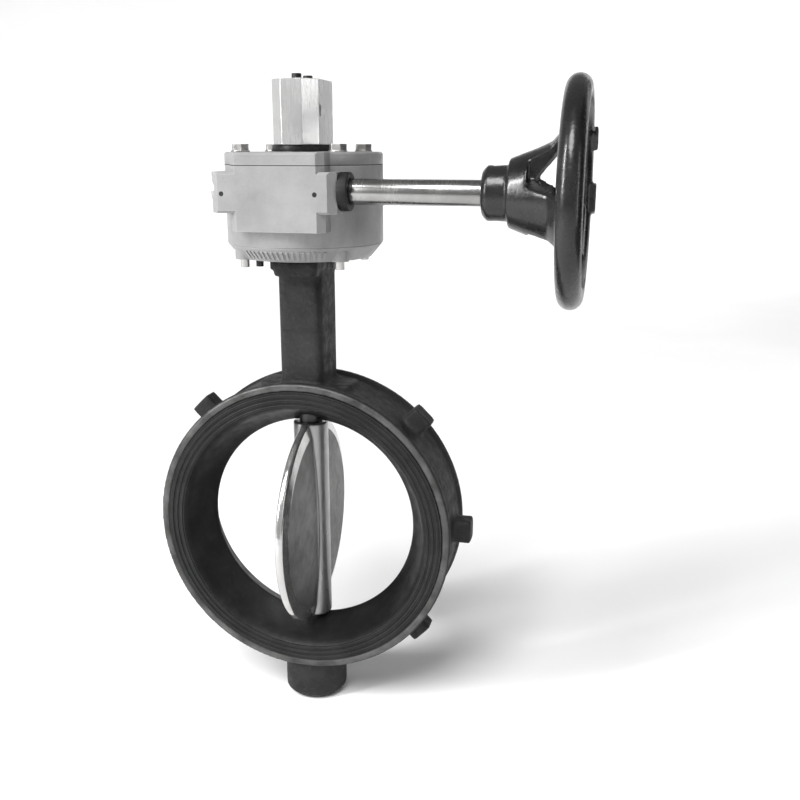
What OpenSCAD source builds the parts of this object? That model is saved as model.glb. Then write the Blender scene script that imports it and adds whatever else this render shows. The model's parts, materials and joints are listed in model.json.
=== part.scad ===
// Wafer butterfly valve with a worm gear operator, a handwheel and a position indicator.
// Millimetres. The origin is the centre of the bore on the stem axis. +Z runs up the stem,
// +Y along the pipe and +X out along the input shaft to the handwheel. The disc is fully open.

/* [Valve body] */
// Outer diameter of the machined rim at each end face
rim_d = 216; // [214:1:218]
// Outer diameter of the cast barrel between the rims
barrel_d = 212; // [210:1:213]
// Distance between the two metal end faces
face_to_face = 56; // [56:1:58]
// Tip radius of the locating lugs around the barrel
lug_tip_r = 118.5; // [115:0.5:120]
// Width of a locating lug around the barrel
lug_w = 17; // [14:1:18]
// Width of the neck across the pipe
neck_w = 31; // [30:1:33]
// Depth of the neck along the pipe
neck_depth = 38; // [36:1:42]
// Height of the neck's top face above the bore's centre
neck_top_z = 193; // [192:0.5:194]
// Diameter of the boss under the barrel
boss_d = 46; // [42:1:48]
// Depth of the boss's end below the bore's centre
boss_end_z = 140; // [139:1:144]

/* [Seat] */
// Diameter of the rubber seat at its throat, where the disc closes
seat_throat_d = 152; // [152:0.5:153]
// Diameter of the rubber seat at its mouth
seat_mouth_d = 181; // [179:1:182]
// How far the rubber stands proud of the metal end faces
seat_proud = 0.8; // [0.6:0.1:1.2]

/* [Disc and stem] */
// Diameter of the disc
disc_d = 151; // [150:0.5:151]
// Thickness of the disc's dished plate at its centre
disc_centre_t = 15; // [13:1:17]
// Thickness of the disc at its polished edge
disc_edge_t = 5; // [4:0.5:6]
// Diameter of the upright hub down the middle of the disc
disc_hub_d = 25; // [23:1:26]
// Diameter of the stem
stem_d = 16; // [15.8:0.1:16]

/* [Gearbox] */
// Outer diameter of the round gear housing
housing_d = 106; // [105:1:108]
// Distance from the stem axis to the flat front face of the worm housing
front_y = 58; // [58:0.5:60]
// Width of the worm housing's flat front face
front_flat_w = 53; // [50:1:55]
// Reach of the worm tunnel's closed ear from the stem axis
ear_closed_x = 44.5; // [43:0.5:46]
// Reach of the worm tunnel's ear on the handwheel's side
ear_shaft_x = 38.5; // [38:0.5:40]
// Height of the gearbox cover's top face above the bore's centre
cover_top_z = 262; // [261:0.5:263]
// Thickness of the gearbox cover
cover_t = 8; // [7.5:0.5:8]
// Diameter of the base plate under the housing
base_d = 90; // [88:1:92]

/* [Handwheel] */
// Outer diameter of the handwheel
handwheel_d = 137; // [136:1:142]
// Diameter of the handwheel's round rim
rim_tube_d = 15.2; // [14:0.2:16]
// Distance from the stem axis to the middle of the rim
rim_x = 183; // [182:0.5:184]
// Width of a spoke
spoke_w = 31; // [28:1:33]
// Diameter of the input shaft outside the gearbox
shaft_d = 16; // [15.8:0.1:16]

/* [Indicator] */
// Width of the indicator cap across the pipe when the valve is open
cap_w = 32; // [30:1:34]
// Length of the indicator cap along the disc
cap_l = 48; // [44:1:50]
// Height of the indicator cap's top face above the bore's centre
cap_top_z = 307.5; // [305:0.5:309]

/* [Hidden] */

$fn = 96;
eps = 0.01;
// Oversize that lets a cut run clean through a face
over = 1;
// Radial clearance of a running fit
run_gap = 0.05;
// Gap between flat faces that turn past each other
turn_gap = 0.2;

// Body casting
rim_r = rim_d / 2;
barrel_r = barrel_d / 2;
half_w = face_to_face / 2;
rim_w = 6;
rim_edge = 1;
casting_bore_r = 92;
recess_r = 102;
recess_depth = 4;
lug_angles = [0, 45, 135, 180, 225, 315];
lug_root_r = 100;
lug_l = 15.5;
lug_centre_y = 2;
lug_corner_r = 3;
shoulder_w = 68;
shoulder_l = 24;
shoulder_top_z = 104.8;
shoulder_low_z = 94;
shoulder_r = 5;
neck_low_z = 97;
neck_corner_r = 5;
pad_w = 27;
pad_low_z = 144.5;
pad_high_z = 174;
pad_proud = 1;
pad_corner_r = 1.5;
neck_step_w = 30;
neck_step_l = 57;
neck_step_z = 181;
flange_w = 33;
flange_l = 62;
flange_t = 7;
flange_corner_r = 4;
flange_screw_y = 24;
boss_r = boss_d / 2;
boss_chamfer = 5;

// Stem, its bushings and seals
stem_r = stem_d / 2;
stem_low_z = -124;
stem_top_z = 285;
bush_r = 10;
bush_bore_r = stem_r + run_gap;
liner_gap = 0.1;
liner_hole_r = stem_r + liner_gap;
lower_neck_bush = [96, 126];
upper_neck_bush = [164, 192];
seal_z = [146, 153];
seal_section_r = (bush_r - bush_bore_r) / 2;
bottom_bush = [-122, -93];
washer_t = 1.8;
plug_r = 12;
plug_top_z = stem_low_z - turn_gap - washer_t;
plug_end_gap = 0.5;
plug_socket_af = 10;
plug_socket_depth = 7;

// Seat liner
throat_r = seat_throat_d / 2;
mouth_r = seat_mouth_d / 2;
// Section from the crown to the mouth: growth in radius and distance from the middle
seat_flare = [[0, 0.8], [5, 8], [9.5, 17], [12, 24]];
seat_ridges = 3;
ridge_first_r = 92.2;
ridge_pitch = 3.6;
ridge_w = 1.4;

// Disc
disc_r = disc_d / 2;
disc_rim_w = 9;
disc_face_r = disc_r - disc_rim_w;
disc_face_t = 9;
disc_steps = 10;
disc_bevel_w = 1.2;
disc_hub_r = disc_hub_d / 2;
// Clearance between the hub's ends and the seat's crown
disc_gap = 0.5;
disc_hub_end_z = sqrt(pow(throat_r, 2) - pow(disc_hub_r, 2)) - disc_gap;
disc_pin_z = 38;
disc_pin_r = 3;
disc_pin_head_x = -13.5;
disc_pin_tip_x = 9;

// Fasteners
m5_r = 2.5;
m5_head_r = 4.25;
m5_head_h = 5;
m5_head_gap = 0.3;
m5_socket_af = 4;
m6_r = 3;
m6_clear_r = 3.1;
m6_af = 10;
m6_head_h = 4;
m6_washer_r = 6;
m6_washer_t = 1;
m8_r = 4;
m8_af = 13;
m8_head_h = 5.3;
m8_low_head_r = 6.5;
m8_low_head_h = 5;
m8_socket_af = 5;
m8_grub_socket_af = 4;
socket_depth = 3;
hex_sides = 6;

// Gearbox levels
base_z = neck_top_z;
base_t = 10;
base_top_r = 52.5;
base_edge = 1;
floor_z = base_z + base_t;
floor_t = 8;
cavity_z = floor_z + floor_t;
cover_z = cover_top_z - cover_t;
gasket_t = 0.4;
housing_top_z = cover_z - gasket_t;
housing_r = housing_d / 2;
front_bevel = 4.5;
front_x = front_flat_w / 2 + front_bevel;
front_low_z = 213;
ear_low_z = 224.5;
ear_high_z = 250;
ear_closed_bevel = 6;
ear_shaft_bevel = 5;
ear_edge = 1.5;
block_back_y = -22;
cover_edge = 1.2;

// Gearbox inside
gear_module = 2;
wheel_teeth = 35;
worm_pitch_r = 9;
wheel_pitch_r = gear_module * wheel_teeth / 2;
centre_distance = wheel_pitch_r + worm_pitch_r;
worm_y = -centre_distance;
worm_z = 238;
addendum_share = 0.95;
addendum = addendum_share * gear_module;
wheel_tip_r = wheel_pitch_r + addendum;
// Clearance between a thread's or tooth's tip and the root it runs in
tip_gap = 0.5;
wheel_root_r = centre_distance - worm_pitch_r - addendum - tip_gap;
wheel_face = 14;
sector_gap = 1.4;
sector_cavity_r = wheel_tip_r + sector_gap;
cavity_r = 46.5;
cavity_front_y = -26;
through_x = 33;
through_y = 30.5;
column_r = 6.2;
lobe_r = 6.2;
through_end_z = 187.5;
f07_half = 24.75;
base_bore_r = 13;
floor_bush_r = 12;
serration_count = 17;
serration_span = 64;
serration_w = 1.5;
serration_depth = 0.8;
serration_h = 6.5;

// Worm tunnel
tunnel_r = 10;
pocket_x = 18.5;
pocket_r = 11.3;
pocket_low_z = 217;
passage_r = 8.6;
bearing_l = 10;
seal_spigot_r = 9.6;
seal_spigot_x = 33.5;
seal_flange_r = 12;
seal_flange_gap = 0.3;
seal_end_x = 45;
cap_bore_x = 38;
cap_slot_w = 2.5;
cap_slot_depth = 2;

// Worm and worm wheel
worm_tip_r = worm_pitch_r + addendum;
worm_root_r = centre_distance - wheel_tip_r - tip_gap;
worm_bore_r = 5;
worm_half_l = 17.5;
thread_half_l = 13.5;
lead = PI * gear_module;
thread_tip_w = 1.5;
thread_root_w = 3.3;
thread_points = 20;
slices_per_turn = 14;
tooth_tip_w = 1.5;
tooth_root_w = 3.9;
tooth_root_bury = 1.2;
// Teeth of the quadrant, counted from the tooth beside the worm
tooth_span = [-2, 10];
wheel_hub_r = 17;
wheel_hub_lift = 0.3;
wheel_hub_z = [cavity_z + wheel_hub_lift, 252];
sector_half = 12;
key_w = 6;
key_y = [5, 11];
key_z = [222, 250];
worm_pin_x = 15.5;
worm_pin_r = 1.5;

// Stop screws
stop_x = 24;
stop_tip_y = sector_half + turn_gap;
stop_end_y = 60;
stop_boss_r = 8;
stop_boss_y = 50;
stop_nut_t = 5;

// Front screws in the worm housing's face
front_screw_x = [-36, 25.5];
front_screw_z = 236.5;
front_screw_r = 1.6;
front_screw_l = 3;

// Input shaft and handwheel
shaft_r = shaft_d / 2;
journal_r = 5;
journal_end_x = -29;
shoulder_x = 29;
shaft_end_x = 154.5;
collar_x = 128;
collar_r = 16.7;
collar_chamfer = 3;
cone_x = 144;
hub_end_x = 155;
// Dished web's section as distance along the shaft and radius, outside and inside
spoke_count = 3;
web_outside = [[144, 20.5], [161, 27], [168.5, 30.5], [174, 37], [178, 47]];
web_inside = [[188, 47], [183, 38.5], [176, 32], [168.5, 24], [161, 17.8], [155, 13]];
rim_tube_r = rim_tube_d / 2;
rim_r_mid = handwheel_d / 2 - rim_tube_r;
window_bite = 0.6;
window_r = rim_r_mid - rim_tube_r + window_bite;
window_low_x = 156;
// Raised pads on the rim's outer face: middle angle and half span
rim_pads = [[85, 9], [121.5, 6]];
rim_pad_w = 9;
rim_pad_proud = 2.6;
roll_pin_x = 136;
roll_pin_r = 2.5;
pin_sunk = 0.3;
end_washer_r = 9;
end_washer_t = 1.6;
end_bolt_l = 16;

// Indicator
cap_chamfer = 9;
disc_base_t = 4.5;
cap_base_z = cover_top_z + disc_base_t;
cap_wall = 3;
cap_roof = 4;
cap_post_r = 12;
disc_base_r = 21.5;
cap_slot = [4, 7];
cap_slot_y = -12.5;
cap_slot_z = 288;
cap_screw_y = 11.5;
cap_screw_r = 1.9;
cap_screw_l = 10;
cap_screw_head_r = 3.2;
cap_screw_head_h = 3.6;
cap_screw_boss_r = 4.2;
cap_socket_af = 3;
cap_socket_depth = 1.9;

CAST_DARK = "#4a4a4a";
CAST_GREY = "#b4b4b4";
RUBBER = "#1c1c1c";
STEEL = "#c8c8c8";
BRONZE = "#b08d57";
ZINC = "#a0a0a0";
BLACK = "#222222";
PALE = "#d2d2d2";

// Turns a child's +Z to +Y
module along_y() {
    rotate([-90, 0, 0]) children();
}

// Turns a child's +Z to +X
module along_x() {
    rotate([0, 90, 0]) children();
}

// Places a child drawn along +Z on the input shaft's axis
module on_shaft() {
    translate([0, worm_y, worm_z]) along_x() children();
}

// Ring or bush along Z between two heights
module bush(outer_r, inner_r, span) {
    translate([0, 0, span[0]]) difference() {
        cylinder(r = outer_r, h = span[1] - span[0]);
        translate([0, 0, -over]) cylinder(r = inner_r, h = span[1] - span[0] + 2 * over);
    }
}

// Hexagonal prism given across its flats
module hex(af, h) {
    cylinder(d = af / cos(180 / hex_sides), h = h, $fn = hex_sides);
}

// Flat rectangle with round corners
module rounded_rect(w, l, r) {
    square([w - 2 * r, l], center = true);
    square([w, l - 2 * r], center = true);
    for (x = [-1, 1], y = [-1, 1]) translate([x * (w / 2 - r), y * (l / 2 - r)]) circle(r = r);
}

// Upright bar with round corners between two heights
module column(w, l, r, low, high) {
    translate([0, 0, low]) linear_extrude(high - low) rounded_rect(w, l, r);
}

// Puts a child at the four corners of a rectangle
module at_corners(x, y) {
    for (sx = [-1, 1], sy = [-1, 1]) translate([sx * x, sy * y, 0]) children();
}

// ---------------------------------------------------------------- valve body

module barrel() {
    along_y() rotate_extrude($fn = 180) polygon([
        [casting_bore_r, recess_depth - half_w],
        [recess_r, recess_depth - half_w],
        [recess_r, -half_w],
        [rim_r - rim_edge, -half_w],
        [rim_r, rim_edge - half_w],
        [rim_r, rim_w - half_w],
        [barrel_r, rim_w + rim_edge - half_w],
        [barrel_r, half_w - rim_w - rim_edge],
        [rim_r, half_w - rim_w],
        [rim_r, half_w - rim_edge],
        [rim_r - rim_edge, half_w],
        [recess_r, half_w],
        [recess_r, half_w - recess_depth],
        [casting_bore_r, half_w - recess_depth]
    ]);
}

module lug() {
    translate([0, lug_centre_y, 0]) along_x() translate([0, 0, lug_root_r])
        linear_extrude(lug_tip_r - lug_root_r) rounded_rect(lug_w, lug_l, lug_corner_r);
}

module neck() {
    column(shoulder_w, shoulder_l, shoulder_r, shoulder_low_z, shoulder_top_z);
    column(neck_w, neck_depth, neck_corner_r, neck_low_z, neck_step_z + over);
    column(neck_step_w, neck_step_l, flange_corner_r, neck_step_z, base_z - flange_t + eps);
    column(flange_w, flange_l, flange_corner_r, base_z - flange_t, base_z);
    translate([0, -neck_depth / 2, (pad_low_z + pad_high_z) / 2]) along_y()
        translate([0, 0, -pad_proud]) linear_extrude(pad_proud + over)
            rounded_rect(pad_w, pad_high_z - pad_low_z, pad_corner_r);
}

module bottom_boss() {
    rotate_extrude() polygon([
        [0, -boss_end_z],
        [boss_r - boss_chamfer, -boss_end_z],
        [boss_r, boss_chamfer - boss_end_z],
        [boss_r, -neck_low_z],
        [0, -neck_low_z]
    ]);
}

module valve_body() {
    color(CAST_DARK) difference() {
        union() {
            barrel();
            for (a = lug_angles) rotate([0, -a, 0]) lug();
            neck();
            bottom_boss();
        }
        translate([0, 0, throat_r]) cylinder(r = bush_r, h = base_z - throat_r + over);
        translate([0, 0, plug_top_z]) cylinder(r = bush_r, h = -plug_top_z - throat_r);
        translate([0, 0, -boss_end_z - over]) cylinder(r = plug_r, h = boss_end_z + over + plug_top_z);
        for (side = [-1, 1]) translate([0, side * flange_screw_y, neck_step_z + over])
            cylinder(r = m8_r, h = base_z - neck_step_z);
    }
}

// One side of the seat's section, from the crown to the end face, for side = 1 or -1
function seat_inside(side) = concat(
    [for (step = seat_flare) [throat_r + step[0], side * step[1]]],
    [[mouth_r, side * half_w]]
);

module seat_liner() {
    color(RUBBER) difference() {
        along_y() {
            rotate_extrude($fn = 180) polygon(concat(
                seat_inside(1),
                [
                    [recess_r, half_w],
                    [recess_r, half_w - recess_depth],
                    [casting_bore_r, half_w - recess_depth],
                    [casting_bore_r, recess_depth - half_w],
                    [recess_r, recess_depth - half_w],
                    [recess_r, -half_w]
                ],
                [for (i = [len(seat_flare):-1:0]) seat_inside(-1)[i]]
            ));
            for (side = [-1, 1], i = [0:seat_ridges - 1])
                rotate_extrude($fn = 180) translate([ridge_first_r + i * ridge_pitch, side * half_w])
                    square([ridge_w, 2 * seat_proud], center = true);
        }
        cylinder(r = liner_hole_r, h = 2 * casting_bore_r + over, center = true);
    }
}

module upper_neck_bushing() {
    color(BRONZE) bush(bush_r, bush_bore_r, upper_neck_bush);
}

module lower_neck_bushing() {
    color(BRONZE) bush(bush_r, bush_bore_r, lower_neck_bush);
}

module stem_seals() {
    color(RUBBER) for (z = seal_z) translate([0, 0, z])
        rotate_extrude() translate([bush_bore_r + seal_section_r, 0]) circle(r = seal_section_r, $fn = 24);
}

module bottom_bushing() {
    color(BRONZE) bush(bush_r, bush_bore_r, bottom_bush);
}

module thrust_washer() {
    color(STEEL) translate([0, 0, plug_top_z]) cylinder(r = bush_r, h = washer_t);
}

module bottom_plug() {
    color(ZINC) difference() {
        translate([0, 0, plug_end_gap - boss_end_z])
            cylinder(r = plug_r, h = plug_top_z + boss_end_z - plug_end_gap);
        translate([0, 0, plug_end_gap - boss_end_z - over]) hex(plug_socket_af, plug_socket_depth + over);
    }
}

// ------------------------------------------------------------- gearbox shells

// Short ribs cast on the front of the base plate's tapered rim
module serrations() {
    taper = atan((base_top_r - base_d / 2) / (base_t - base_edge));
    for (i = [0:serration_count - 1])
        rotate([0, 0, -90 + serration_span * (i / (serration_count - 1) - 0.5)])
            translate([(base_d / 2 + base_top_r) / 2, 0, base_z + (base_t - base_edge) / 2])
                rotate([0, taper, 0]) translate([-over, -serration_w / 2, -serration_h / 2])
                    cube([over + serration_depth, serration_w, serration_h]);
}

module base_plate() {
    color(CAST_GREY) difference() {
        union() {
            rotate_extrude($fn = 120) polygon([
                [0, base_z],
                [base_d / 2, base_z],
                [base_top_r, floor_z - base_edge],
                [base_top_r, floor_z],
                [0, floor_z]
            ]);
            at_corners(through_x, through_y) translate([0, 0, base_z]) cylinder(r = lobe_r, h = base_t);
            serrations();
        }
        translate([0, 0, base_z - over]) cylinder(r = base_bore_r, h = base_t + 2 * over);
        at_corners(through_x, through_y) translate([0, 0, base_z - over]) cylinder(r = m6_r, h = base_t + 2 * over);
        at_corners(f07_half, f07_half) translate([0, 0, base_z - over]) cylinder(r = m5_r, h = base_t + 2 * over);
        for (side = [-1, 1]) translate([0, side * flange_screw_y, 0]) {
            translate([0, 0, base_z - over]) cylinder(r = m8_r, h = base_t + 2 * over);
            translate([0, 0, floor_z - m8_low_head_h]) cylinder(r = m8_low_head_r, h = m8_low_head_h + over);
        }
    }
}

// Low socket-head screws that hold the base plate on the neck's flange
module flange_screws() {
    color(BLACK) for (side = [-1, 1]) translate([0, side * flange_screw_y, 0]) difference() {
        union() {
            translate([0, 0, neck_step_z + over])
                cylinder(r = m8_r, h = floor_z - m8_low_head_h - neck_step_z);
            translate([0, 0, floor_z - m8_low_head_h]) cylinder(r = m8_low_head_r, h = m8_low_head_h);
        }
        translate([0, 0, floor_z - socket_depth]) hex(m8_socket_af, socket_depth + over);
    }
}

// Socket-head screws, put in from inside the housing, that hold it on the base plate
module base_screws() {
    color(BLACK) at_corners(f07_half, f07_half) difference() {
        union() {
            translate([0, 0, through_end_z]) cylinder(r = m5_r, h = cavity_z + eps - through_end_z);
            translate([0, 0, cavity_z]) cylinder(r = m5_head_r, h = m5_head_h);
        }
        translate([0, 0, cavity_z + m5_head_h - socket_depth]) hex(m5_socket_af, socket_depth + over);
    }
}

// Plan outline with a flat front between two bevelled corners
module front_outline(low_x, high_x, low_bevel, high_bevel) {
    polygon([
        [low_x, block_back_y],
        [low_x, low_bevel - front_y],
        [low_x + low_bevel, -front_y],
        [high_x - high_bevel, -front_y],
        [high_x, high_bevel - front_y],
        [high_x, block_back_y]
    ]);
}

// Plan outline of the worm block, as wide as the cover's front
module block_outline() {
    front_outline(-front_x, front_x, front_bevel, front_bevel);
}

// Ears around the worm tunnel, with their long edges bevelled
module ears() {
    intersection() {
        translate([0, 0, ear_low_z]) linear_extrude(ear_high_z - ear_low_z)
            front_outline(-ear_closed_x, ear_shaft_x, ear_closed_bevel, ear_shaft_bevel);
        translate([-ear_closed_x, 0, 0]) rotate([90, 0, 90]) linear_extrude(ear_closed_x + ear_shaft_x) polygon([
            [block_back_y, ear_low_z],
            [ear_edge - front_y, ear_low_z],
            [-front_y, ear_low_z + ear_edge],
            [-front_y, ear_high_z - ear_edge],
            [ear_edge - front_y, ear_high_z],
            [block_back_y, ear_high_z]
        ]);
    }
}

module housing_outside() {
    rotate_extrude($fn = 120) polygon([
        [0, floor_z],
        [housing_r, floor_z],
        [housing_r, housing_top_z],
        [0, housing_top_z]
    ]);
    translate([0, 0, front_low_z]) linear_extrude(housing_top_z - front_low_z) block_outline();
    ears();
    for (side = [-1, 1]) translate([side * stop_x, cavity_r - 2 * stop_boss_r, worm_z]) along_y()
        cylinder(r = stop_boss_r, h = stop_boss_y - cavity_r + 2 * stop_boss_r);
}

// Plan outline of the gear cavity, clear of the columns around the long bolts
module gear_outline() {
    difference() {
        union() {
            intersection() {
                circle(r = cavity_r);
                translate([-cavity_r, cavity_front_y]) square(2 * cavity_r);
            }
            circle(r = sector_cavity_r);
        }
        at_corners(through_x, through_y) circle(r = column_r);
    }
}

// Plan outline of the worm pocket in front of the gear cavity
module pocket_outline() {
    translate([-pocket_x, worm_y - pocket_r]) square([2 * pocket_x, pocket_r - worm_y]);
}

// Bores of the worm tunnel, drawn along the input shaft
module tunnel_bores() {
    on_shaft() {
        translate([0, 0, -ear_closed_x - over])
            cylinder(r = tunnel_r, h = pocket_x + bearing_l + ear_closed_x + over);
        cylinder(r = passage_r, h = ear_shaft_x + over);
        translate([0, 0, seal_spigot_x]) cylinder(r = seal_spigot_r, h = ear_shaft_x - seal_spigot_x + over);
        translate([0, 0, ear_shaft_x])
            cylinder(r = seal_flange_r + seal_flange_gap, h = seal_end_x - ear_shaft_x + over);
    }
}

module gear_housing() {
    color(CAST_GREY) difference() {
        housing_outside();
        translate([0, 0, cavity_z]) linear_extrude(housing_top_z - cavity_z + over) gear_outline();
        translate([0, 0, pocket_low_z]) linear_extrude(housing_top_z - pocket_low_z + over) pocket_outline();
        tunnel_bores();
        translate([0, 0, floor_z - over]) cylinder(r = floor_bush_r, h = floor_t + 2 * over);
        at_corners(through_x, through_y) translate([0, 0, floor_z - over])
            cylinder(r = m6_clear_r, h = housing_top_z - floor_z + 2 * over);
        at_corners(f07_half, f07_half) translate([0, 0, floor_z - over])
            cylinder(r = m5_r, h = floor_t + 2 * over);
        at_corners(f07_half, f07_half) translate([0, 0, cavity_z])
            cylinder(r = m5_head_r + m5_head_gap, h = m5_head_h + over);
        for (side = [-1, 1]) translate([side * stop_x, 0, worm_z]) along_y()
            cylinder(r = m8_r, h = stop_boss_y + over);
        for (x = front_screw_x) translate([x, -front_y - over, front_screw_z]) along_y()
            cylinder(r = front_screw_r, h = front_screw_l + over, $fn = 24);
    }
}

module floor_bushing() {
    color(BRONZE) bush(floor_bush_r, bush_bore_r, [floor_z, cavity_z]);
}

// Plan outline shared by the cover and its gasket
module cover_outline() {
    circle(r = housing_r, $fn = 120);
    block_outline();
}

module cover_gasket() {
    color(BLACK) translate([0, 0, housing_top_z]) linear_extrude(gasket_t) difference() {
        cover_outline();
        gear_outline();
        pocket_outline();
        at_corners(through_x, through_y) circle(r = m6_clear_r);
    }
}

module gearbox_cover() {
    color(CAST_GREY) difference() {
        union() {
            rotate_extrude($fn = 120) polygon([
                [0, cover_z],
                [housing_r, cover_z],
                [housing_r, cover_top_z - cover_edge],
                [housing_r - cover_edge, cover_top_z],
                [0, cover_top_z]
            ]);
            intersection() {
                translate([0, 0, cover_z]) linear_extrude(cover_t) block_outline();
                translate([-front_x, 0, 0]) rotate([90, 0, 90]) linear_extrude(2 * front_x) polygon([
                    [block_back_y, cover_z],
                    [-front_y, cover_z],
                    [-front_y, cover_top_z - cover_edge],
                    [cover_edge - front_y, cover_top_z],
                    [block_back_y, cover_top_z]
                ]);
            }
        }
        translate([0, 0, cover_z - over]) cylinder(r = floor_bush_r, h = cover_t + 2 * over);
        at_corners(through_x, through_y) translate([0, 0, cover_z - over])
            cylinder(r = m6_clear_r, h = cover_t + 2 * over);
    }
}

module cover_bushing() {
    color(BRONZE) bush(floor_bush_r, bush_bore_r, [cover_z, cover_top_z]);
}

module cover_washers() {
    color(ZINC) at_corners(through_x, through_y)
        bush(m6_washer_r, m6_clear_r, [cover_top_z, cover_top_z + m6_washer_t]);
}

// Long bolts through the cover and the housing into the base plate's lobes
module cover_bolts() {
    color(ZINC) at_corners(through_x, through_y) {
        translate([0, 0, cover_top_z + m6_washer_t]) hex(m6_af, m6_head_h);
        translate([0, 0, through_end_z]) cylinder(r = m6_r, h = cover_top_z + m6_washer_t + eps - through_end_z);
    }
}

// ------------------------------------------------------------- worm tunnel

module worm_bearing_inner() {
    color(BRONZE) on_shaft()
        bush(tunnel_r, journal_r + run_gap, [-pocket_x - bearing_l, -pocket_x]);
}

module worm_bearing_outer() {
    color(BRONZE) on_shaft()
        bush(tunnel_r, journal_r + run_gap, [pocket_x, pocket_x + bearing_l]);
}

module shaft_seal() {
    color(RUBBER) on_shaft() {
        bush(seal_spigot_r, shaft_r + run_gap, [seal_spigot_x, ear_shaft_x]);
        bush(seal_flange_r, shaft_r + run_gap, [ear_shaft_x, seal_end_x]);
    }
}

module worm_end_cap() {
    color(ZINC) on_shaft() difference() {
        translate([0, 0, -ear_closed_x]) cylinder(r = tunnel_r, h = ear_closed_x - cap_bore_x);
        translate([-tunnel_r, -cap_slot_w / 2, -ear_closed_x - over])
            cube([2 * tunnel_r, cap_slot_w, cap_slot_depth + over]);
    }
}

module stop_screws() {
    color(ZINC) for (side = [-1, 1]) translate([side * stop_x, 0, worm_z]) along_y() difference() {
        translate([0, 0, stop_tip_y]) cylinder(r = m8_r, h = stop_end_y - stop_tip_y);
        translate([0, 0, stop_end_y - socket_depth]) hex(m8_grub_socket_af, socket_depth + over);
    }
}

module stop_locknuts() {
    color(ZINC) for (side = [-1, 1]) translate([side * stop_x, stop_boss_y, worm_z]) along_y() difference() {
        hex(m8_af, stop_nut_t);
        translate([0, 0, -over]) cylinder(r = m8_r, h = stop_nut_t + 2 * over);
    }
}

module front_screws() {
    color(BLACK) for (x = front_screw_x) translate([x, -front_y, front_screw_z]) along_y()
        cylinder(r = front_screw_r, h = front_screw_l, $fn = 24);
}

// ------------------------------------------------------------- stem group

// The key's own box, also cut from the stem and the worm wheel
module key_box() {
    translate([-key_w / 2, key_y[0], key_z[0]])
        cube([key_w, key_y[1] - key_y[0], key_z[1] - key_z[0]]);
}

// The two pins, also cut from the disc and the stem
module pin_pair() {
    for (side = [-1, 1]) translate([disc_pin_head_x, 0, side * disc_pin_z]) along_x()
        cylinder(r = disc_pin_r, h = disc_pin_tip_x - disc_pin_head_x, $fn = 48);
}

module stem() {
    color(STEEL) difference() {
        translate([0, 0, stem_low_z]) cylinder(r = stem_r, h = stem_top_z - stem_low_z);
        pin_pair();
        key_box();
    }
}

// Half thickness of the disc's dished face at radius r
function face_half(r) = disc_face_t / 2 + (disc_centre_t - disc_face_t) / 2 * (1 - pow(r / disc_face_r, 2));

// One face of the disc's section, from the centre to the edge
function disc_side(side) = concat(
    [for (i = [0:disc_steps]) let (r = disc_face_r * i / disc_steps) [r, side * face_half(r)]],
    [[disc_r - disc_bevel_w, side * disc_edge_t / 2], [disc_r, side * disc_edge_t / 4]]
);

module disc() {
    color(STEEL) difference() {
        union() {
            along_x() rotate_extrude($fn = 180) polygon(concat(
                disc_side(1),
                [for (i = [disc_steps + 2:-1:0]) disc_side(-1)[i]]
            ));
            cylinder(r = disc_hub_r, h = 2 * disc_hub_end_z, center = true);
        }
        cylinder(r = stem_r, h = disc_d + over, center = true);
        pin_pair();
    }
}

module disc_pins() {
    color(ZINC) pin_pair();
}

module stem_key() {
    color(STEEL) key_box();
}

// One tooth of the worm wheel, leaning with the worm's thread
module wheel_tooth() {
    lean = atan(lead / (2 * PI * worm_pitch_r));
    rotate([lean, 0, 0]) linear_extrude(2 * wheel_face, center = true) polygon([
        [-tooth_root_bury, -tooth_root_w / 2],
        [0, -tooth_root_w / 2],
        [wheel_tip_r - wheel_root_r, -tooth_tip_w / 2],
        [wheel_tip_r - wheel_root_r, tooth_tip_w / 2],
        [0, tooth_root_w / 2],
        [-tooth_root_bury, tooth_root_w / 2]
    ]);
}

// The quadrant's square reach, whose two straight edges meet the stop screws
module sector_reach(r) {
    translate([-sector_half, -r]) square([r + sector_half, r + sector_half]);
}

module worm_wheel() {
    step = 360 / wheel_teeth;
    color(BRONZE) difference() {
        union() {
            bush(wheel_hub_r, stem_r, wheel_hub_z);
            translate([0, 0, worm_z - wheel_face / 2]) linear_extrude(wheel_face) intersection() {
                circle(r = wheel_root_r);
                sector_reach(wheel_root_r);
            }
            intersection() {
                for (k = [tooth_span[0]:tooth_span[1]]) rotate([0, 0, -90 + (k + 0.5) * step])
                    translate([wheel_root_r, 0, worm_z]) wheel_tooth();
                translate([0, 0, worm_z - wheel_face / 2]) linear_extrude(wheel_face)
                    sector_reach(wheel_tip_r + over);
            }
        }
        translate([0, 0, wheel_hub_z[0] - over])
            cylinder(r = stem_r, h = wheel_hub_z[1] - wheel_hub_z[0] + 2 * over);
        key_box();
    }
}

// ------------------------------------------------------------- indicator

// Long octagon: a rectangle with its corners cut at 45 degrees
module cut_rect(w, l, c) {
    polygon([
        [c - w / 2, -l / 2], [w / 2 - c, -l / 2],
        [w / 2, c - l / 2], [w / 2, l / 2 - c],
        [w / 2 - c, l / 2], [c - w / 2, l / 2],
        [-w / 2, l / 2 - c], [-w / 2, c - l / 2]
    ]);
}

module indicator_base() {
    color(BLACK) bush(disc_base_r, stem_r, [cover_top_z + turn_gap, cap_base_z]);
}

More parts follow.
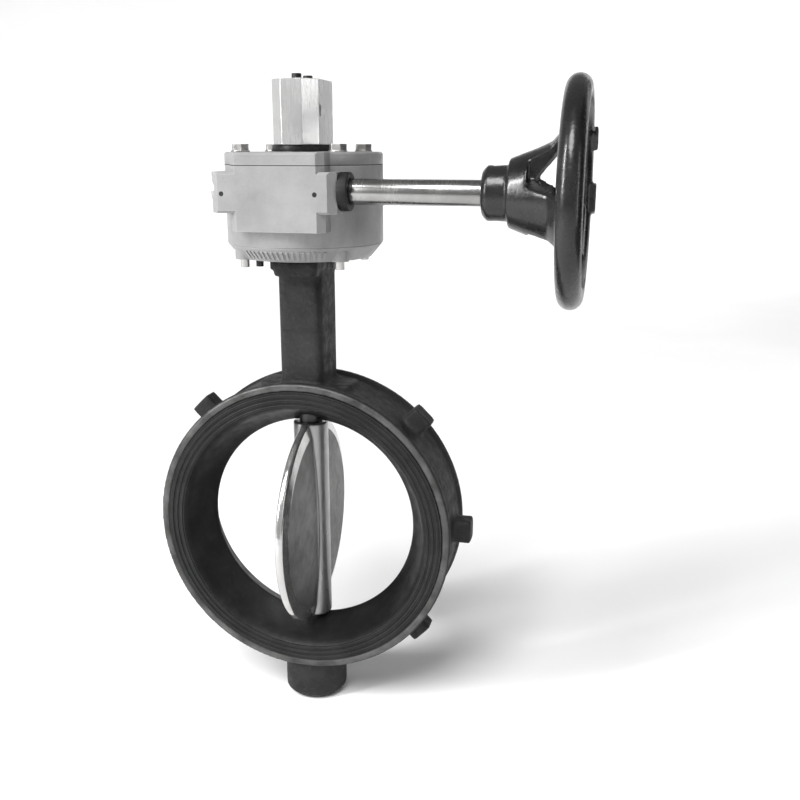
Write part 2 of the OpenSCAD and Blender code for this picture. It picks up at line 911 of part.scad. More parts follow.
module indicator_cap() {
    color(PALE) difference() {
        union() {
            difference() {
                translate([0, 0, cap_base_z]) linear_extrude(cap_top_z - cap_base_z)
                    cut_rect(cap_w, cap_l, cap_chamfer);
                translate([0, 0, cap_base_z - over]) linear_extrude(cap_top_z - cap_roof - cap_base_z + over)
                    cut_rect(cap_w - 2 * cap_wall, cap_l - 2 * cap_wall, cap_chamfer - cap_wall / 2);
            }
            translate([0, 0, cap_base_z]) cylinder(r = cap_post_r, h = cap_top_z - cap_base_z - over);
            for (side = [-1, 1]) translate([0, side * cap_screw_y, cap_top_z - cap_screw_l - cap_roof])
                cylinder(r = cap_screw_boss_r, h = cap_screw_l);
        }
        translate([0, 0, cap_base_z - over]) cylinder(r = stem_r, h = stem_top_z - cap_base_z + over);
        for (side = [-1, 1]) translate([0, side * cap_screw_y, cap_top_z - cap_screw_l])
            cylinder(r = cap_screw_r, h = cap_screw_l + over);
        translate([cap_w / 2 - cap_wall / 2, cap_slot_y - cap_slot[0] / 2, cap_slot_z - cap_slot[1] / 2])
            cube([cap_wall, cap_slot[0], cap_slot[1]]);
    }
}

module indicator_screws() {
    color(BLACK) for (side = [-1, 1]) translate([0, side * cap_screw_y, 0]) difference() {
        union() {
            translate([0, 0, cap_top_z]) cylinder(r = cap_screw_head_r, h = cap_screw_head_h);
            translate([0, 0, cap_top_z - cap_screw_l]) cylinder(r = cap_screw_r, h = cap_screw_l + eps);
        }
        translate([0, 0, cap_top_z + cap_screw_head_h - cap_socket_depth]) hex(cap_socket_af, socket_depth);
    }
}

// ------------------------------------------------------------- handwheel group

module input_shaft() {
    color(STEEL) difference() {
        on_shaft() {
            translate([0, 0, journal_end_x]) cylinder(r = journal_r, h = shoulder_x - journal_end_x + eps);
            translate([0, 0, shoulder_x]) cylinder(r = shaft_r, h = shaft_end_x - shoulder_x);
        }
        on_shaft() translate([0, 0, hub_end_x + end_washer_t - end_bolt_l])
            cylinder(r = m8_r, h = end_bolt_l);
        cross_pin(roll_pin_x, roll_pin_r, collar_r + over);
        cross_pin(worm_pin_x, worm_pin_r, worm_root_r + over);
    }
}

// Pin standing upright through the input shaft
module cross_pin(x, r, half_l) {
    translate([x, worm_y, worm_z - half_l]) cylinder(r = r, h = 2 * half_l, $fn = 32);
}

// Radius of the worm at an angle from the crest of its thread
function thread_r(angle) =
    let (half_tip = 180 * thread_tip_w / lead, half_root = 180 * thread_root_w / lead)
    abs(angle) <= half_tip ? worm_tip_r
    : abs(angle) >= half_root ? worm_root_r
    : worm_tip_r - (worm_tip_r - worm_root_r) * (abs(angle) - half_tip) / (half_root - half_tip);

module worm_section() {
    polygon([for (i = [0:thread_points - 1])
        let (a = -180 + 360 * i / thread_points) thread_r(a) * [cos(a + 90), sin(a + 90)]]);
}

// Left-hand worm: turning the handwheel clockwise closes the valve
module worm() {
    turns = 2 * thread_half_l / lead;
    color(STEEL) difference() {
        on_shaft() {
            rotate([0, 0, 180 * turns]) translate([0, 0, -thread_half_l])
                linear_extrude(
                    2 * thread_half_l, twist = 360 * turns,
                    slices = round(turns * slices_per_turn), segments = thread_points
                ) worm_section();
            for (end = [-worm_half_l, thread_half_l - over]) translate([0, 0, end])
                cylinder(r = worm_root_r, h = worm_half_l - thread_half_l + over);
        }
        on_shaft() translate([0, 0, -worm_half_l - over]) cylinder(r = worm_bore_r, h = 2 * (worm_half_l + over));
        cross_pin(worm_pin_x, worm_pin_r, worm_root_r + over);
    }
}

module worm_pin() {
    color(ZINC) cross_pin(worm_pin_x, worm_pin_r, worm_root_r);
}

// Dished web between the collar and the rim, as a solid of revolution
module web() {
    rotate_extrude($fn = 120) polygon(concat(
        [for (point = web_outside) [point[1], point[0]]],
        [[rim_r_mid, rim_x - rim_tube_r / 2], [rim_r_mid, rim_x + rim_tube_r / 2]],
        [for (point = web_inside) [point[1], point[0]]],
        [[shaft_r, hub_end_x], [shaft_r, cone_x]]
    ));
}

// Plan of one window: the wedge between two spokes, inside the rim
module window_outline() {
    apex = spoke_w / 2 / sin(180 / spoke_count);
    intersection() {
        circle(r = window_r);
        translate([apex, 0]) polygon([
            [0, 0],
            [rim_x, -rim_x * tan(180 / spoke_count)],
            [rim_x, rim_x * tan(180 / spoke_count)]
        ]);
    }
}

module spoked_web() {
    difference() {
        web();
        for (k = [0:spoke_count - 1]) rotate([0, 0, 360 * k / spoke_count])
            translate([0, 0, window_low_x]) linear_extrude(rim_x) window_outline();
    }
}

// Raised pad on the rim's outer face
module rim_pad(half_span) {
    reach = handwheel_d;
    intersection() {
        translate([0, 0, rim_x]) rotate_extrude($fn = 144)
            translate([rim_r_mid - rim_pad_w / 2, 0]) square([rim_pad_w, rim_tube_r + rim_pad_proud]);
        linear_extrude(2 * rim_x) polygon([
            [0, 0],
            [reach, -reach * tan(half_span)],
            [reach, reach * tan(half_span)]
        ]);
    }
}

module handwheel() {
    color(BLACK) difference() {
        on_shaft() {
            spoked_web();
            rotate_extrude($fn = 120) polygon([
                [shaft_r, collar_x],
                [collar_r - collar_chamfer, collar_x],
                [collar_r, collar_x + collar_chamfer],
                [collar_r, cone_x + over],
                [shaft_r, cone_x + over]
            ]);
            translate([0, 0, rim_x]) rotate_extrude($fn = 144)
                translate([rim_r_mid, 0]) circle(r = rim_tube_r, $fn = 48);
            for (pad = rim_pads) rotate([0, 0, pad[0]]) rim_pad(pad[1]);
        }
        cross_pin(roll_pin_x, roll_pin_r, collar_r + over);
    }
}

module handwheel_pin() {
    color(ZINC) cross_pin(roll_pin_x, roll_pin_r, collar_r - pin_sunk);
}

module handwheel_washer() {
    color(ZINC) on_shaft() bush(end_washer_r, m8_r, [hub_end_x, hub_end_x + end_washer_t]);
}

module handwheel_bolt() {
    color(ZINC) on_shaft() {
        translate([0, 0, hub_end_x + end_washer_t]) hex(m8_af, m8_head_h);
        translate([0, 0, hub_end_x + end_washer_t - end_bolt_l]) cylinder(r = m8_r, h = end_bolt_l + eps);
    }
}

valve_body();
seat_liner();
upper_neck_bushing();
lower_neck_bushing();
stem_seals();
bottom_bushing();
thrust_washer();
bottom_plug();
base_plate();
flange_screws();
base_screws();
gear_housing();
floor_bushing();
cover_gasket();
gearbox_cover();
cover_bushing();
cover_washers();
cover_bolts();
worm_bearing_inner();
worm_bearing_outer();
shaft_seal();
worm_end_cap();
stop_screws();
stop_locknuts();
front_screws();
stem();
disc();
disc_pins();
stem_key();
worm_wheel();
indicator_base();
indicator_cap();
indicator_screws();
input_shaft();
worm();
worm_pin();
handwheel();
handwheel_pin();
handwheel_washer();
handwheel_bolt();
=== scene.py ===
"""Looks of the worm-gear butterfly valve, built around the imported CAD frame. Metres, +Z up."""

import json
import math

import bpy
from mathutils import Matrix, Vector


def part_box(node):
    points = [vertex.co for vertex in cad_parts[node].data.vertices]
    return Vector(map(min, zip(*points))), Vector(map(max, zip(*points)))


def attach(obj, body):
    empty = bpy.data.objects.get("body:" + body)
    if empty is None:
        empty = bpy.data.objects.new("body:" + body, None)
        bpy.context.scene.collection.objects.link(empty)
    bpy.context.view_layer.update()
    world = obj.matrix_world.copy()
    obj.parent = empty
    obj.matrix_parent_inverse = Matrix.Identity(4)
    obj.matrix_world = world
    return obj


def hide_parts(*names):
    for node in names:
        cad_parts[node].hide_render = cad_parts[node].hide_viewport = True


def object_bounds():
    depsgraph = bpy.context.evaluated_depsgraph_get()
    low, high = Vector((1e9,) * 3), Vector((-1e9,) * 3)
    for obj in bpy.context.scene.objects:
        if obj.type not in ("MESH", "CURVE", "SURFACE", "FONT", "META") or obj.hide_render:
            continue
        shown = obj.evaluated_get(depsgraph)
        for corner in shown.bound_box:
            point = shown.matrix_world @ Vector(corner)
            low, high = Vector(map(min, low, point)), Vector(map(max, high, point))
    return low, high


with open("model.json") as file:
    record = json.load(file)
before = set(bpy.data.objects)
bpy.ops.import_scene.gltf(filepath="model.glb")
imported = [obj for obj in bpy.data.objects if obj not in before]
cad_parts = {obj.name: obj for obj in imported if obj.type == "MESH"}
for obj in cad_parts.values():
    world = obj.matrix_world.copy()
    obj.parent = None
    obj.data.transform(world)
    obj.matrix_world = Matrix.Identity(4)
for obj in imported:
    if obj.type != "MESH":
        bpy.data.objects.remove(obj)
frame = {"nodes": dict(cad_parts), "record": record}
cad_low, cad_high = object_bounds()

MM = 0.001
WHITE = (1.0, 1.0, 1.0, 1.0)


# ---------------------------------------------------------------- shading helpers

class Shader:
    """One material and short calls that add nodes to it. Patterns use object coordinates in metres."""

    def __init__(self, name, base, metallic=0.0, roughness=0.5, coat=0.0, specular=0.5):
        self.material = bpy.data.materials.new(name)
        self.material.use_nodes = True
        self.tree = self.material.node_tree
        self.surface = self.tree.nodes["Principled BSDF"]
        self.surface.inputs["Base Color"].default_value = grey(base)
        self.surface.inputs["Metallic"].default_value = metallic
        self.surface.inputs["Roughness"].default_value = roughness
        self.surface.inputs["Coat Weight"].default_value = coat
        self.surface.inputs["Specular IOR Level"].default_value = specular
        self.place = self.add("ShaderNodeTexCoord").outputs["Object"]

    def add(self, kind, **settings):
        node = self.tree.nodes.new(kind)
        for key, value in settings.items():
            setattr(node, key, value)
        return node

    def plug(self, node, socket, value):
        """Sets a socket from a number, a colour or another node's output."""
        if isinstance(value, bpy.types.NodeSocket):
            self.tree.links.new(value, node.inputs[socket])
        else:
            node.inputs[socket].default_value = value

    def math(self, operation, first, second=0.0, clamp=False):
        node = self.add("ShaderNodeMath", operation=operation, use_clamp=clamp)
        self.plug(node, 0, first)
        self.plug(node, 1, second)
        return node.outputs[0]

    def stretched(self, stretch):
        """Object coordinates scaled along the three axes."""
        node = self.add("ShaderNodeVectorMath", operation="MULTIPLY")
        self.plug(node, 0, self.place)
        node.inputs[1].default_value = stretch
        return node.outputs[0]

    def noise(self, scale, detail=4.0, rough=0.55, stretch=None):
        node = self.add("ShaderNodeTexNoise")
        self.plug(node, "Vector", self.stretched(stretch) if stretch else self.place)
        node.inputs["Scale"].default_value = scale
        node.inputs["Detail"].default_value = detail
        node.inputs["Roughness"].default_value = rough
        return node.outputs["Fac"]

    def range(self, value, low, high, to_low=0.0, to_high=1.0):
        """Maps low..high to to_low..to_high, held at the ends."""
        node = self.add("ShaderNodeMapRange")
        for socket, number in zip((0, 1, 2, 3, 4), (value, low, high, to_low, to_high)):
            self.plug(node, socket, number)
        return node.outputs[0]

    def mix(self, factor, first, second):
        node = self.add("ShaderNodeMix", data_type="RGBA")
        self.plug(node, 0, factor)
        self.plug(node, 6, first)
        self.plug(node, 7, second)
        return node.outputs[2]

    def axis(self, letter):
        node = self.add("ShaderNodeSeparateXYZ")
        self.plug(node, 0, self.place)
        return node.outputs[letter]

    def away(self, first, second, centre=(0.0, 0.0)):
        """Distance from a line, given by two axis letters and its place on them."""
        a = self.math("SUBTRACT", self.axis(first), centre[0])
        b = self.math("SUBTRACT", self.axis(second), centre[1])
        squares = self.math("ADD", self.math("MULTIPLY", a, a), self.math("MULTIPLY", b, b))
        return self.math("SQRT", squares)

    def edges(self, radius):
        """1 on exposed edges and corners, 0 on flat faces."""
        rounded = self.add("ShaderNodeBevel", samples=4)
        rounded.inputs["Radius"].default_value = radius
        flat = self.add("ShaderNodeNewGeometry").outputs["Normal"]
        dot = self.add("ShaderNodeVectorMath", operation="DOT_PRODUCT")
        self.plug(dot, 0, rounded.outputs[0])
        self.plug(dot, 1, flat)
        return self.range(dot.outputs["Value"], 0.985, 0.90)

    def bump(self, height, distance, strength=1.0, after=None):
        node = self.add("ShaderNodeBump")
        self.plug(node, "Height", height)
        node.inputs["Distance"].default_value = distance
        node.inputs["Strength"].default_value = strength
        if after is not None:
            self.plug(node, "Normal", after)
        return node.outputs[0]

    def paint(self, **sockets):
        """Plugs patterns into the surface shader, with _ for a space in a socket's name."""
        for name, value in sockets.items():
            self.plug(self.surface, name.replace("_", " "), value)
        return self.material


def grey(value, warm=0.0):
    """A linear grey, or a slightly warm one."""
    return (value * (1 + warm), value, value * (1 - warm), 1.0)


# ---------------------------------------------------------------- materials

# The rubber stands this far proud of the body's turned end faces.
SEAT_PROUD = 0.8 * MM
END_FACE_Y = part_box("seat_liner")[1].y - SEAT_PROUD

# The turned end face lies between these two radii.
BODY_RIM_R = 0.0985
BODY_OUTER_R = 0.1085

# The disc's bright bevel starts between the first two radii, and stops short of the hub's half width.
DISC_FACE_R = 66.2 * MM
DISC_BEVEL_R = 66.8 * MM
HUB_INSIDE_Y = 12.2 * MM
HUB_OUTSIDE_Y = 12.6 * MM
BEVEL_INSIDE_Y = 12.9 * MM
BEVEL_OUTSIDE_Y = 13.4 * MM


def cast_body():
    """Dark coated cast iron, sand-cast outside and turned on its two end faces."""
    s = Shader("cast_dark", 0.03, roughness=0.62, specular=0.3)
    blotch = s.range(s.noise(38, 5), 0.34, 0.68)
    grain = s.noise(900, 3, 0.7)
    sand = s.noise(330, 4, 0.6)
    cast = s.mix(blotch, grey(0.006, 0.01), grey(0.022, 0.01))
    cast = s.mix(s.range(sand, 0.55, 0.75, 0.0, 0.5), cast, grey(0.045, 0.01))
    cast = s.mix(s.math("MULTIPLY", s.edges(1.4 * MM), 0.45), cast, grey(0.09, 0.01))
    facing = s.range(s.math("ABSOLUTE", s.axis("Y")), END_FACE_Y - 0.9 * MM, END_FACE_Y - 0.3 * MM)
    radius = s.away("X", "Z")
    ring = s.math(
        "MULTIPLY", s.range(radius, BODY_RIM_R, BODY_RIM_R + 0.5 * MM),
        s.range(radius, BODY_OUTER_R + 0.5 * MM, BODY_OUTER_R),
    )
    turned = s.math("MULTIPLY", facing, ring)
    groove = s.math("SINE", s.math("MULTIPLY", radius, 9000))
    steel = s.mix(s.range(s.noise(60, 4), 0.35, 0.7), grey(0.045, 0.01), grey(0.12, 0.01))
    cast_bump = s.bump(s.math("ADD", sand, s.math("MULTIPLY", grain, 0.5)), 0.9 * MM, 0.55)
    ring_bump = s.bump(groove, 0.02 * MM, 0.5)
    normal = s.add("ShaderNodeMix", data_type="VECTOR")
    s.plug(normal, 0, turned)
    s.plug(normal, 4, cast_bump)
    s.plug(normal, 5, ring_bump)
    rough = s.range(s.noise(150, 4), 0.3, 0.7, 0.5, 0.78)
    rough = s.math("SUBTRACT", rough, s.math("MULTIPLY", turned, 0.24))
    return s.paint(
        Base_Color=s.mix(turned, cast, steel), Metallic=s.math("MULTIPLY", turned, 0.45),
        Roughness=rough, Normal=normal.outputs[1],
    )


def rubber():
    """Moulded black rubber with a faint bloom and handling marks."""
    s = Shader("rubber", 0.02, roughness=0.55, specular=0.28)
    bloom = s.range(s.noise(45, 6, 0.62), 0.42, 0.72)
    streak = s.range(s.noise(260, 3, 0.6), 0.55, 0.8, 0.0, 0.5)
    colour = s.mix(bloom, grey(0.005), grey(0.015))
    colour = s.mix(streak, colour, grey(0.024))
    colour = s.mix(s.math("MULTIPLY", s.edges(0.5 * MM), 0.5), colour, grey(0.085))
    rough = s.range(s.noise(120, 4), 0.3, 0.7, 0.42, 0.62)
    return s.paint(Base_Color=colour, Roughness=rough, Normal=s.bump(s.noise(1400, 3), 0.12 * MM, 0.4))


def painted_casting():
    """Light grey enamel over a fine casting, rubbed at the corners."""
    s = Shader("cast_light", 0.5, roughness=0.42, coat=0.12)
    patch = s.range(s.noise(30, 5, 0.6), 0.36, 0.66)
    speck = s.range(s.noise(420, 3, 0.7), 0.62, 0.78, 0.0, 0.4)
    colour = s.mix(patch, grey(0.225), grey(0.29))
    colour = s.mix(speck, colour, grey(0.14))
    colour = s.mix(s.math("MULTIPLY", s.edges(0.9 * MM), 0.4), colour, grey(0.42))
    rough = s.range(s.noise(110, 4), 0.3, 0.7, 0.34, 0.56)
    peel = s.bump(s.noise(520, 3, 0.5), 0.35 * MM, 0.35)
    return s.paint(Base_Color=colour, Roughness=rough, Normal=s.bump(s.noise(110, 4), 0.7 * MM, 0.25, peel))


def wheel_enamel():
    """Semi-gloss black enamel on a cast handwheel."""
    s = Shader("wheel_paint", 0.02, roughness=0.3, coat=0.15, specular=0.45)
    patch = s.range(s.noise(42, 5), 0.35, 0.7)
    colour = s.mix(patch, grey(0.005), grey(0.014))
    colour = s.mix(s.math("MULTIPLY", s.edges(0.8 * MM), 0.35), colour, grey(0.06))
    rough = s.range(s.noise(130, 4), 0.3, 0.7, 0.22, 0.32)
    cast = s.bump(s.noise(240, 4, 0.6), 0.5 * MM, 0.4)
    return s.paint(Base_Color=colour, Roughness=rough, Normal=s.bump(s.noise(900, 2), 0.1 * MM, 0.3, cast))


def ground_steel(name, along, base=0.34, roughness=0.2):
    """Turned and polished steel, its fine marks lying across the given long axis."""
    s = Shader(name, base, metallic=1.0, roughness=roughness)
    stretch = tuple(1.0 if letter == along else 0.06 for letter in "XYZ")
    marks = s.noise(2600, 4, 0.7, stretch)
    cloud = s.range(s.noise(55, 4), 0.35, 0.7)
    colour = s.mix(cloud, grey(base * 0.86, 0.01), grey(base * 1.1, 0.01))
    rough = s.math(
        "ADD", s.range(marks, 0.3, 0.7, -0.05, 0.08),
        s.range(cloud, 0, 1, roughness, roughness + 0.06),
    )
    return s.paint(Base_Color=colour, Roughness=rough, Normal=s.bump(marks, 0.02 * MM, 0.12))


def disc_metal():
    """Coated cast disc whose bevelled edge and hub are machined bright."""
    s = Shader("disc_metal", 0.3, metallic=0.9, roughness=0.42)
    radius = s.away("Y", "Z")
    hub_y = s.math("ABSOLUTE", s.axis("Y"))
    beside = s.range(hub_y, BEVEL_INSIDE_Y, BEVEL_OUTSIDE_Y)
    edge = s.math("MULTIPLY", s.range(radius, DISC_FACE_R, DISC_BEVEL_R), beside)
    cloud = s.range(s.noise(48, 5, 0.6), 0.32, 0.7)
    sand = s.noise(420, 4, 0.65)
    face = s.mix(cloud, grey(0.13, 0.01), grey(0.22, 0.01))
    face = s.mix(s.range(sand, 0.58, 0.75, 0.0, 0.5), face, grey(0.3))
    bright = s.mix(cloud, grey(0.5, 0.01), grey(0.66, 0.01))
    hub = s.range(hub_y, HUB_OUTSIDE_Y, HUB_INSIDE_Y)
    colour = s.mix(edge, s.mix(s.math("MULTIPLY", hub, 0.9), face, grey(0.4)), bright)
    rough = s.range(s.noise(140, 4), 0.3, 0.7, 0.42, 0.58)
    rough = s.math("SUBTRACT", rough, s.math("MULTIPLY", hub, 0.16))
    rough = s.math("SUBTRACT", rough, s.math("MULTIPLY", edge, 0.34))
    cast = s.math("MULTIPLY", sand, s.math("SUBTRACT", 1.0, edge))
    return s.paint(Base_Color=colour, Roughness=rough, Normal=s.bump(cast, 0.3 * MM, 0.3))


def bronze():
    """Turned bronze bushing with light tarnish."""
    s = Shader("bronze", 0.5, metallic=1.0, roughness=0.32)
    tarnish = s.range(s.noise(90, 5), 0.35, 0.7)
    colour = s.mix(tarnish, (0.55, 0.34, 0.13, 1), (0.36, 0.22, 0.09, 1))
    rough = s.range(s.noise(300, 4), 0.3, 0.7, 0.25, 0.45)
    return s.paint(Base_Color=colour, Roughness=rough, Normal=s.bump(s.noise(1800, 3), 0.05 * MM, 0.3))


def plated_steel():
    """Zinc-plated fasteners with a cloudy passivation."""
    s = Shader("zinc_steel", 0.5, metallic=1.0, roughness=0.36)
    cloud = s.range(s.noise(160, 5, 0.6), 0.3, 0.7)
    colour = s.mix(cloud, grey(0.34, 0.03), grey(0.56, 0.01))
    colour = s.mix(s.math("MULTIPLY", s.edges(0.4 * MM), 0.5), colour, grey(0.75))
    rough = s.range(s.noise(500, 4), 0.3, 0.7, 0.28, 0.5)
    return s.paint(Base_Color=colour, Roughness=rough, Normal=s.bump(s.noise(1500, 3), 0.06 * MM, 0.3))


def black_oxide():
    """Black-oxide steel, slightly oily and worn at its corners."""
    s = Shader("black_steel", 0.03, metallic=0.7, roughness=0.4)
    cloud = s.range(s.noise(180, 5), 0.3, 0.7)
    colour = s.mix(cloud, grey(0.018), grey(0.045))
    colour = s.mix(s.math("MULTIPLY", s.edges(0.4 * MM), 0.6), colour, grey(0.2))
    rough = s.range(s.noise(400, 4), 0.3, 0.7, 0.32, 0.52)
    return s.paint(Base_Color=colour, Roughness=rough, Normal=s.bump(s.noise(1500, 3), 0.06 * MM, 0.3))


def pale_cap():
    """Pale satin indicator cap with fine drawn marks down its sides."""
    s = Shader("pale_cap", 0.7, metallic=0.8, roughness=0.24)
    drawn = s.noise(3200, 2, 0.4, (1.0, 1.0, 0.02))
    cloud = s.range(s.noise(40, 5), 0.35, 0.7)
    colour = s.mix(cloud, grey(0.62, 0.004), grey(0.7, 0.004))
    colour = s.mix(s.math("MULTIPLY", s.edges(0.6 * MM), 0.15), colour, grey(0.85))
    rough = s.math("ADD", s.range(drawn, 0.3, 0.7, -0.02, 0.03), s.range(cloud, 0, 1, 0.24, 0.28))
    return s.paint(Base_Color=colour, Roughness=rough, Normal=s.bump(drawn, 0.01 * MM, 0.06))


def gasket_sheet():
    """Fibre gasket sheet, dark and matt."""
    s = Shader("gasket", 0.03, roughness=0.8)
    fibre = s.noise(1200, 4, 0.7)
    colour = s.mix(s.range(fibre, 0.3, 0.7), grey(0.02), grey(0.06))
    return s.paint(Base_Color=colour, Normal=s.bump(fibre, 0.05 * MM, 0.4))


MATERIALS = {
    "cast_dark": cast_body(),
    "cast_light": painted_casting(),
    "rubber": rubber(),
    "polished_steel": ground_steel("polished_steel", "X"),
    "disc_metal": disc_metal(),
    "bronze": bronze(),
    "zinc_steel": plated_steel(),
    "black_steel": black_oxide(),
    "wheel_paint": wheel_enamel(),
    "pale_cap": pale_cap(),
    "gasket": gasket_sheet(),
}
# Painted shade: the stem's steel is coloured far darker than bare ground steel. This stands in for the
# shade on the short length seen between the disc's hub and the seat.
STEM_STEEL_PAINTED_SHADE = ground_steel("stem_steel_painted_shade", "Z", base=0.07, roughness=0.4)


def dress(obj, material):
    obj.data.materials.clear()
    obj.data.materials.append(material)


# ---------------------------------------------------------------- shapes

def soften(obj, width, segments=2, angle=32):
    """Rounds a CAD node's sharp edges with modifiers, leaving its own mesh as packed."""
    weld = obj.modifiers.new("weld", "WELD")
    weld.merge_threshold = 0.01 * MM
    flat = obj.modifiers.new("flat", "DECIMATE")
    flat.decimate_type = "DISSOLVE"
    flat.angle_limit = math.radians(0.4)
    bevel = obj.modifiers.new("round", "BEVEL")
    bevel.width = width
    bevel.segments = segments
    bevel.limit_method = "ANGLE"
    bevel.angle_limit = math.radians(angle)
    bevel.use_clamp_overlap = True
    bevel.harden_normals = True
    bevel.miter_outer = "MITER_ARC"


def casting(node, slot, body, voxel, rounds):
    """A copy of a CAD node with cast fillets: remeshed finely, then relaxed so that corners round off."""
    source = frame["nodes"][node]
    mesh = source.data.copy()
    piece = bpy.data.objects.new(node + "_casting", mesh)
    bpy.context.scene.collection.objects.link(piece)
    remesh = piece.modifiers.new("remesh", "REMESH")
    remesh.mode = "VOXEL"
    remesh.voxel_size = voxel
    relax = piece.modifiers.new("relax", "SMOOTH")
    relax.factor = 0.5
    relax.iterations = rounds
    made = bpy.data.meshes.new_from_object(piece.evaluated_get(bpy.context.evaluated_depsgraph_get()))
    piece.modifiers.clear()
    piece.data = made
    for polygon in made.polygons:
        polygon.use_smooth = True
    dress(piece, MATERIALS[slot])
    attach(piece, body)
    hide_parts(node)


SLOTS = {entry["node"]: entry["material_slot"] for entry in frame["record"]["subparts"]}
BODIES = frame["record"]["behaviour"]["bodies"]

SOFT_EDGES = {
    "gear_housing": 1.1 * MM, "gearbox_cover": 0.8 * MM, "base_plate": 0.6 * MM,
    "indicator_cap": 0.6 * MM, "indicator_base": 0.5 * MM,
    "cover_bolts": 0.35 * MM, "cover_washers": 0.15 * MM, "stop_screws": 0.3 * MM,
    "stop_locknuts": 0.3 * MM, "base_screws": 0.3 * MM, "flange_screws": 0.3 * MM,
    "front_screws": 0.3 * MM, "indicator_screws": 0.35 * MM, "shaft_seal": 0.6 * MM,
    "worm_end_cap": 0.3 * MM, "bottom_plug": 0.4 * MM, "input_shaft": 0.4 * MM,
    "stem": 0.5 * MM, "handwheel_bolt": 0.35 * MM, "handwheel_washer": 0.15 * MM,
    "handwheel_pin": 0.2 * MM, "disc_pins": 0.4 * MM, "seat_liner": 0.3 * MM,
}

for name, node in frame["nodes"].items():
    dress(node, STEM_STEEL_PAINTED_SHADE if name == "stem" else MATERIALS[SLOTS[name]])
    if name in SOFT_EDGES:
        soften(node, SOFT_EDGES[name])

casting("valve_body", "cast_dark", "root", 1.35 * MM, 4)
casting("handwheel", "wheel_paint", "handwheel_group", 0.8 * MM, 10)
casting("disc", "disc_metal", "stem_group", 0.72 * MM, 7)


# ---------------------------------------------------------------- studio

FLOOR_REACH = 3.4
FLOOR_BEND = 1.0
FLOOR_TOP = 2.0
FLOOR_SIDES = 96
FLOOR_BEND_STEPS = 14

# The cards stand on the floor across the X axis. Each has a name, a near end and a far end in Y.
CARD_X = 0.76
CARD_TOP = 1.1
CARDS = (("flag_near", -0.3, 0.5), ("flag_far", 1.3, 2.4))

KEY_FROM = (-0.15, -1.0, 1.3)
KEY_STRENGTH = 2.7
KEY_SPREAD_DEG = 28
WINDOW_AT = (-0.85, -0.75, 0.7)
STRIP_AT = (0.72, -0.245, 0.3)
ROOM_STRENGTH = 0.25

# The viewpoint, in metres and degrees. It was fitted to the valve's own outline.
EYE_AT = (0.2128, -0.6279, 0.2648)
EYE_YAW_DEG = 13.15
EYE_PITCH_DEG = -14.88
SENSOR_MM = 36.0
LENS_MM = 42.8


def sweep_floor():
    """A round white floor that curves up into a low wall on every side."""
    reach, bend, around, steps = FLOOR_REACH, FLOOR_BEND, FLOOR_SIDES, FLOOR_BEND_STEPS
    profile = [(reach - bend, 0.0)]
    for i in range(1, steps + 1):
        turn = math.pi / 2 * i / steps
        profile.append((reach - bend + bend * math.sin(turn), bend * (1 - math.cos(turn))))
    profile.append((reach, FLOOR_TOP))
    vertices = [(0.0, 0.0, cad_low.z)]
    for radius, height in profile:
        for k in range(around):
            angle = 2 * math.pi * k / around
            vertices.append((radius * math.cos(angle), radius * math.sin(angle), cad_low.z + height))
    faces = [(0, 1 + k, 1 + (k + 1) % around) for k in range(around)]
    for ring in range(len(profile) - 1):
        first = 1 + ring * around
        for k in range(around):
            after = (k + 1) % around
            faces.append((first + k, first + around + k, first + around + after, first + after))
    mesh = bpy.data.meshes.new("floor")
    mesh.from_pydata(vertices, [], faces)
    for polygon in mesh.polygons:
        polygon.use_smooth = True
    floor = bpy.data.objects.new("floor", mesh)
    bpy.context.scene.collection.objects.link(floor)
    s = Shader("floor", 0.9, roughness=0.8, specular=0.1)
    fine = s.noise(3, 2)
    dress(floor, s.paint(Base_Color=s.mix(s.range(fine, 0.4, 0.6), grey(0.9), grey(0.92))))


def lamp(name, place, aim, size, power):
    """An upright rectangular lamp that faces a point."""
    data = bpy.data.lights.new(name, "AREA")
    data.shape = "RECTANGLE"
    data.size, data.size_y = size
    data.energy = power
    light = bpy.data.objects.new(name, data)
    bpy.context.scene.collection.objects.link(light)
    light.location = place
    away = light.location - Vector(aim)
    light.rotation_euler = away.to_track_quat("Z", "Y").to_euler()


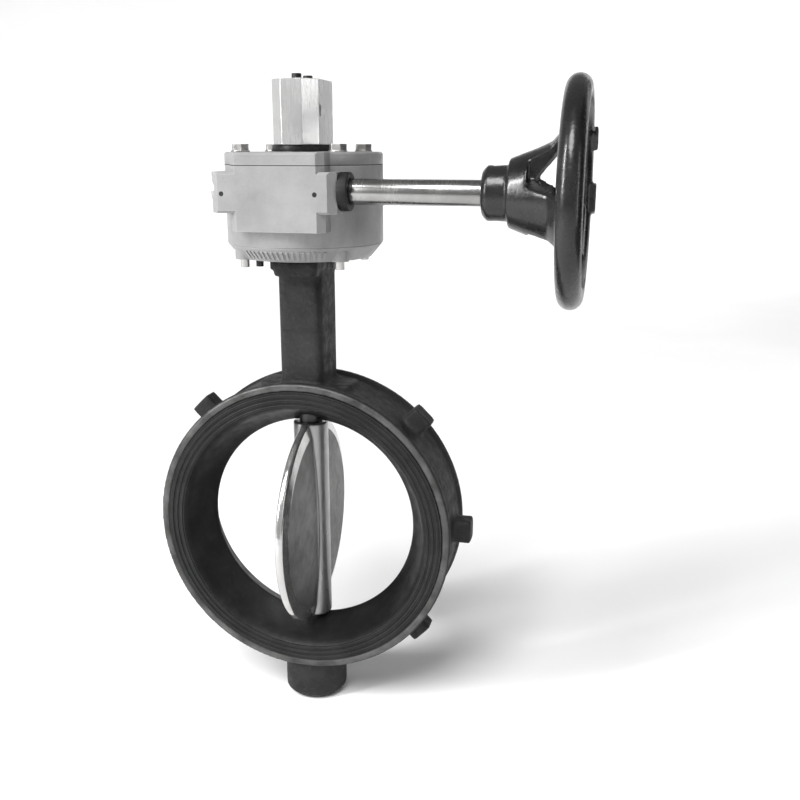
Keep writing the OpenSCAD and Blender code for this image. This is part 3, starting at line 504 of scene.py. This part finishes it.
def flags():
    """Two dark cards that keep stray light off the shaded right side. No camera sees them."""
    place, low, top = CARD_X, cad_low.z, CARD_TOP
    s = Shader("flag", 0.03, roughness=0.9)
    s.paint(Base_Color=s.mix(s.noise(20), grey(0.03), grey(0.04)))
    for name, front, back in CARDS:
        mesh = bpy.data.meshes.new(name)
        corners = [(place, front, low), (place, back, low), (place, back, top), (place, front, top)]
        mesh.from_pydata(corners, [], [(0, 1, 2, 3)])
        card = bpy.data.objects.new(name, mesh)
        bpy.context.scene.collection.objects.link(card)
        dress(card, s.material)
        card.visible_camera = False
        card.visible_shadow = False


def studio():
    """A broad soft key from the front and above, a slim lamp on each side, and a dim white room."""
    sun = bpy.data.lights.new("key", "SUN")
    sun.energy = KEY_STRENGTH
    sun.angle = math.radians(KEY_SPREAD_DEG)
    key = bpy.data.objects.new("key", sun)
    bpy.context.scene.collection.objects.link(key)
    key.rotation_euler = Vector(KEY_FROM).to_track_quat("Z", "Y").to_euler()
    lamp("window", WINDOW_AT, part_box("handwheel")[0], (0.09, 0.9), 17)
    lamp("strip", STRIP_AT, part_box("indicator_cap")[0], (0.04, 0.5), 0.5)
    flags()
    world = bpy.data.worlds.new("studio")
    bpy.context.scene.world = world
    world.use_nodes = True
    background = world.node_tree.nodes["Background"]
    background.inputs["Color"].default_value = WHITE
    background.inputs["Strength"].default_value = ROOM_STRENGTH
    bpy.context.scene.view_settings.view_transform = "Standard"


def camera():
    """The viewpoint: right of the pipe's axis, a little above the gearbox, looking down and left."""
    data = bpy.data.cameras.new("camera")
    data.sensor_width = SENSOR_MM
    data.lens = LENS_MM
    data.clip_start, data.clip_end = 0.01, 50
    eye = bpy.data.objects.new("camera", data)
    bpy.context.scene.collection.objects.link(eye)
    yaw, pitch = math.radians(EYE_YAW_DEG), math.radians(EYE_PITCH_DEG)
    turn = Matrix.Rotation(yaw, 4, "Z") @ Matrix.Rotation(math.pi / 2 + pitch, 4, "X")
    eye.matrix_world = Matrix.Translation(EYE_AT) @ turn
    bpy.context.scene.camera = eye


sweep_floor()
studio()
camera()
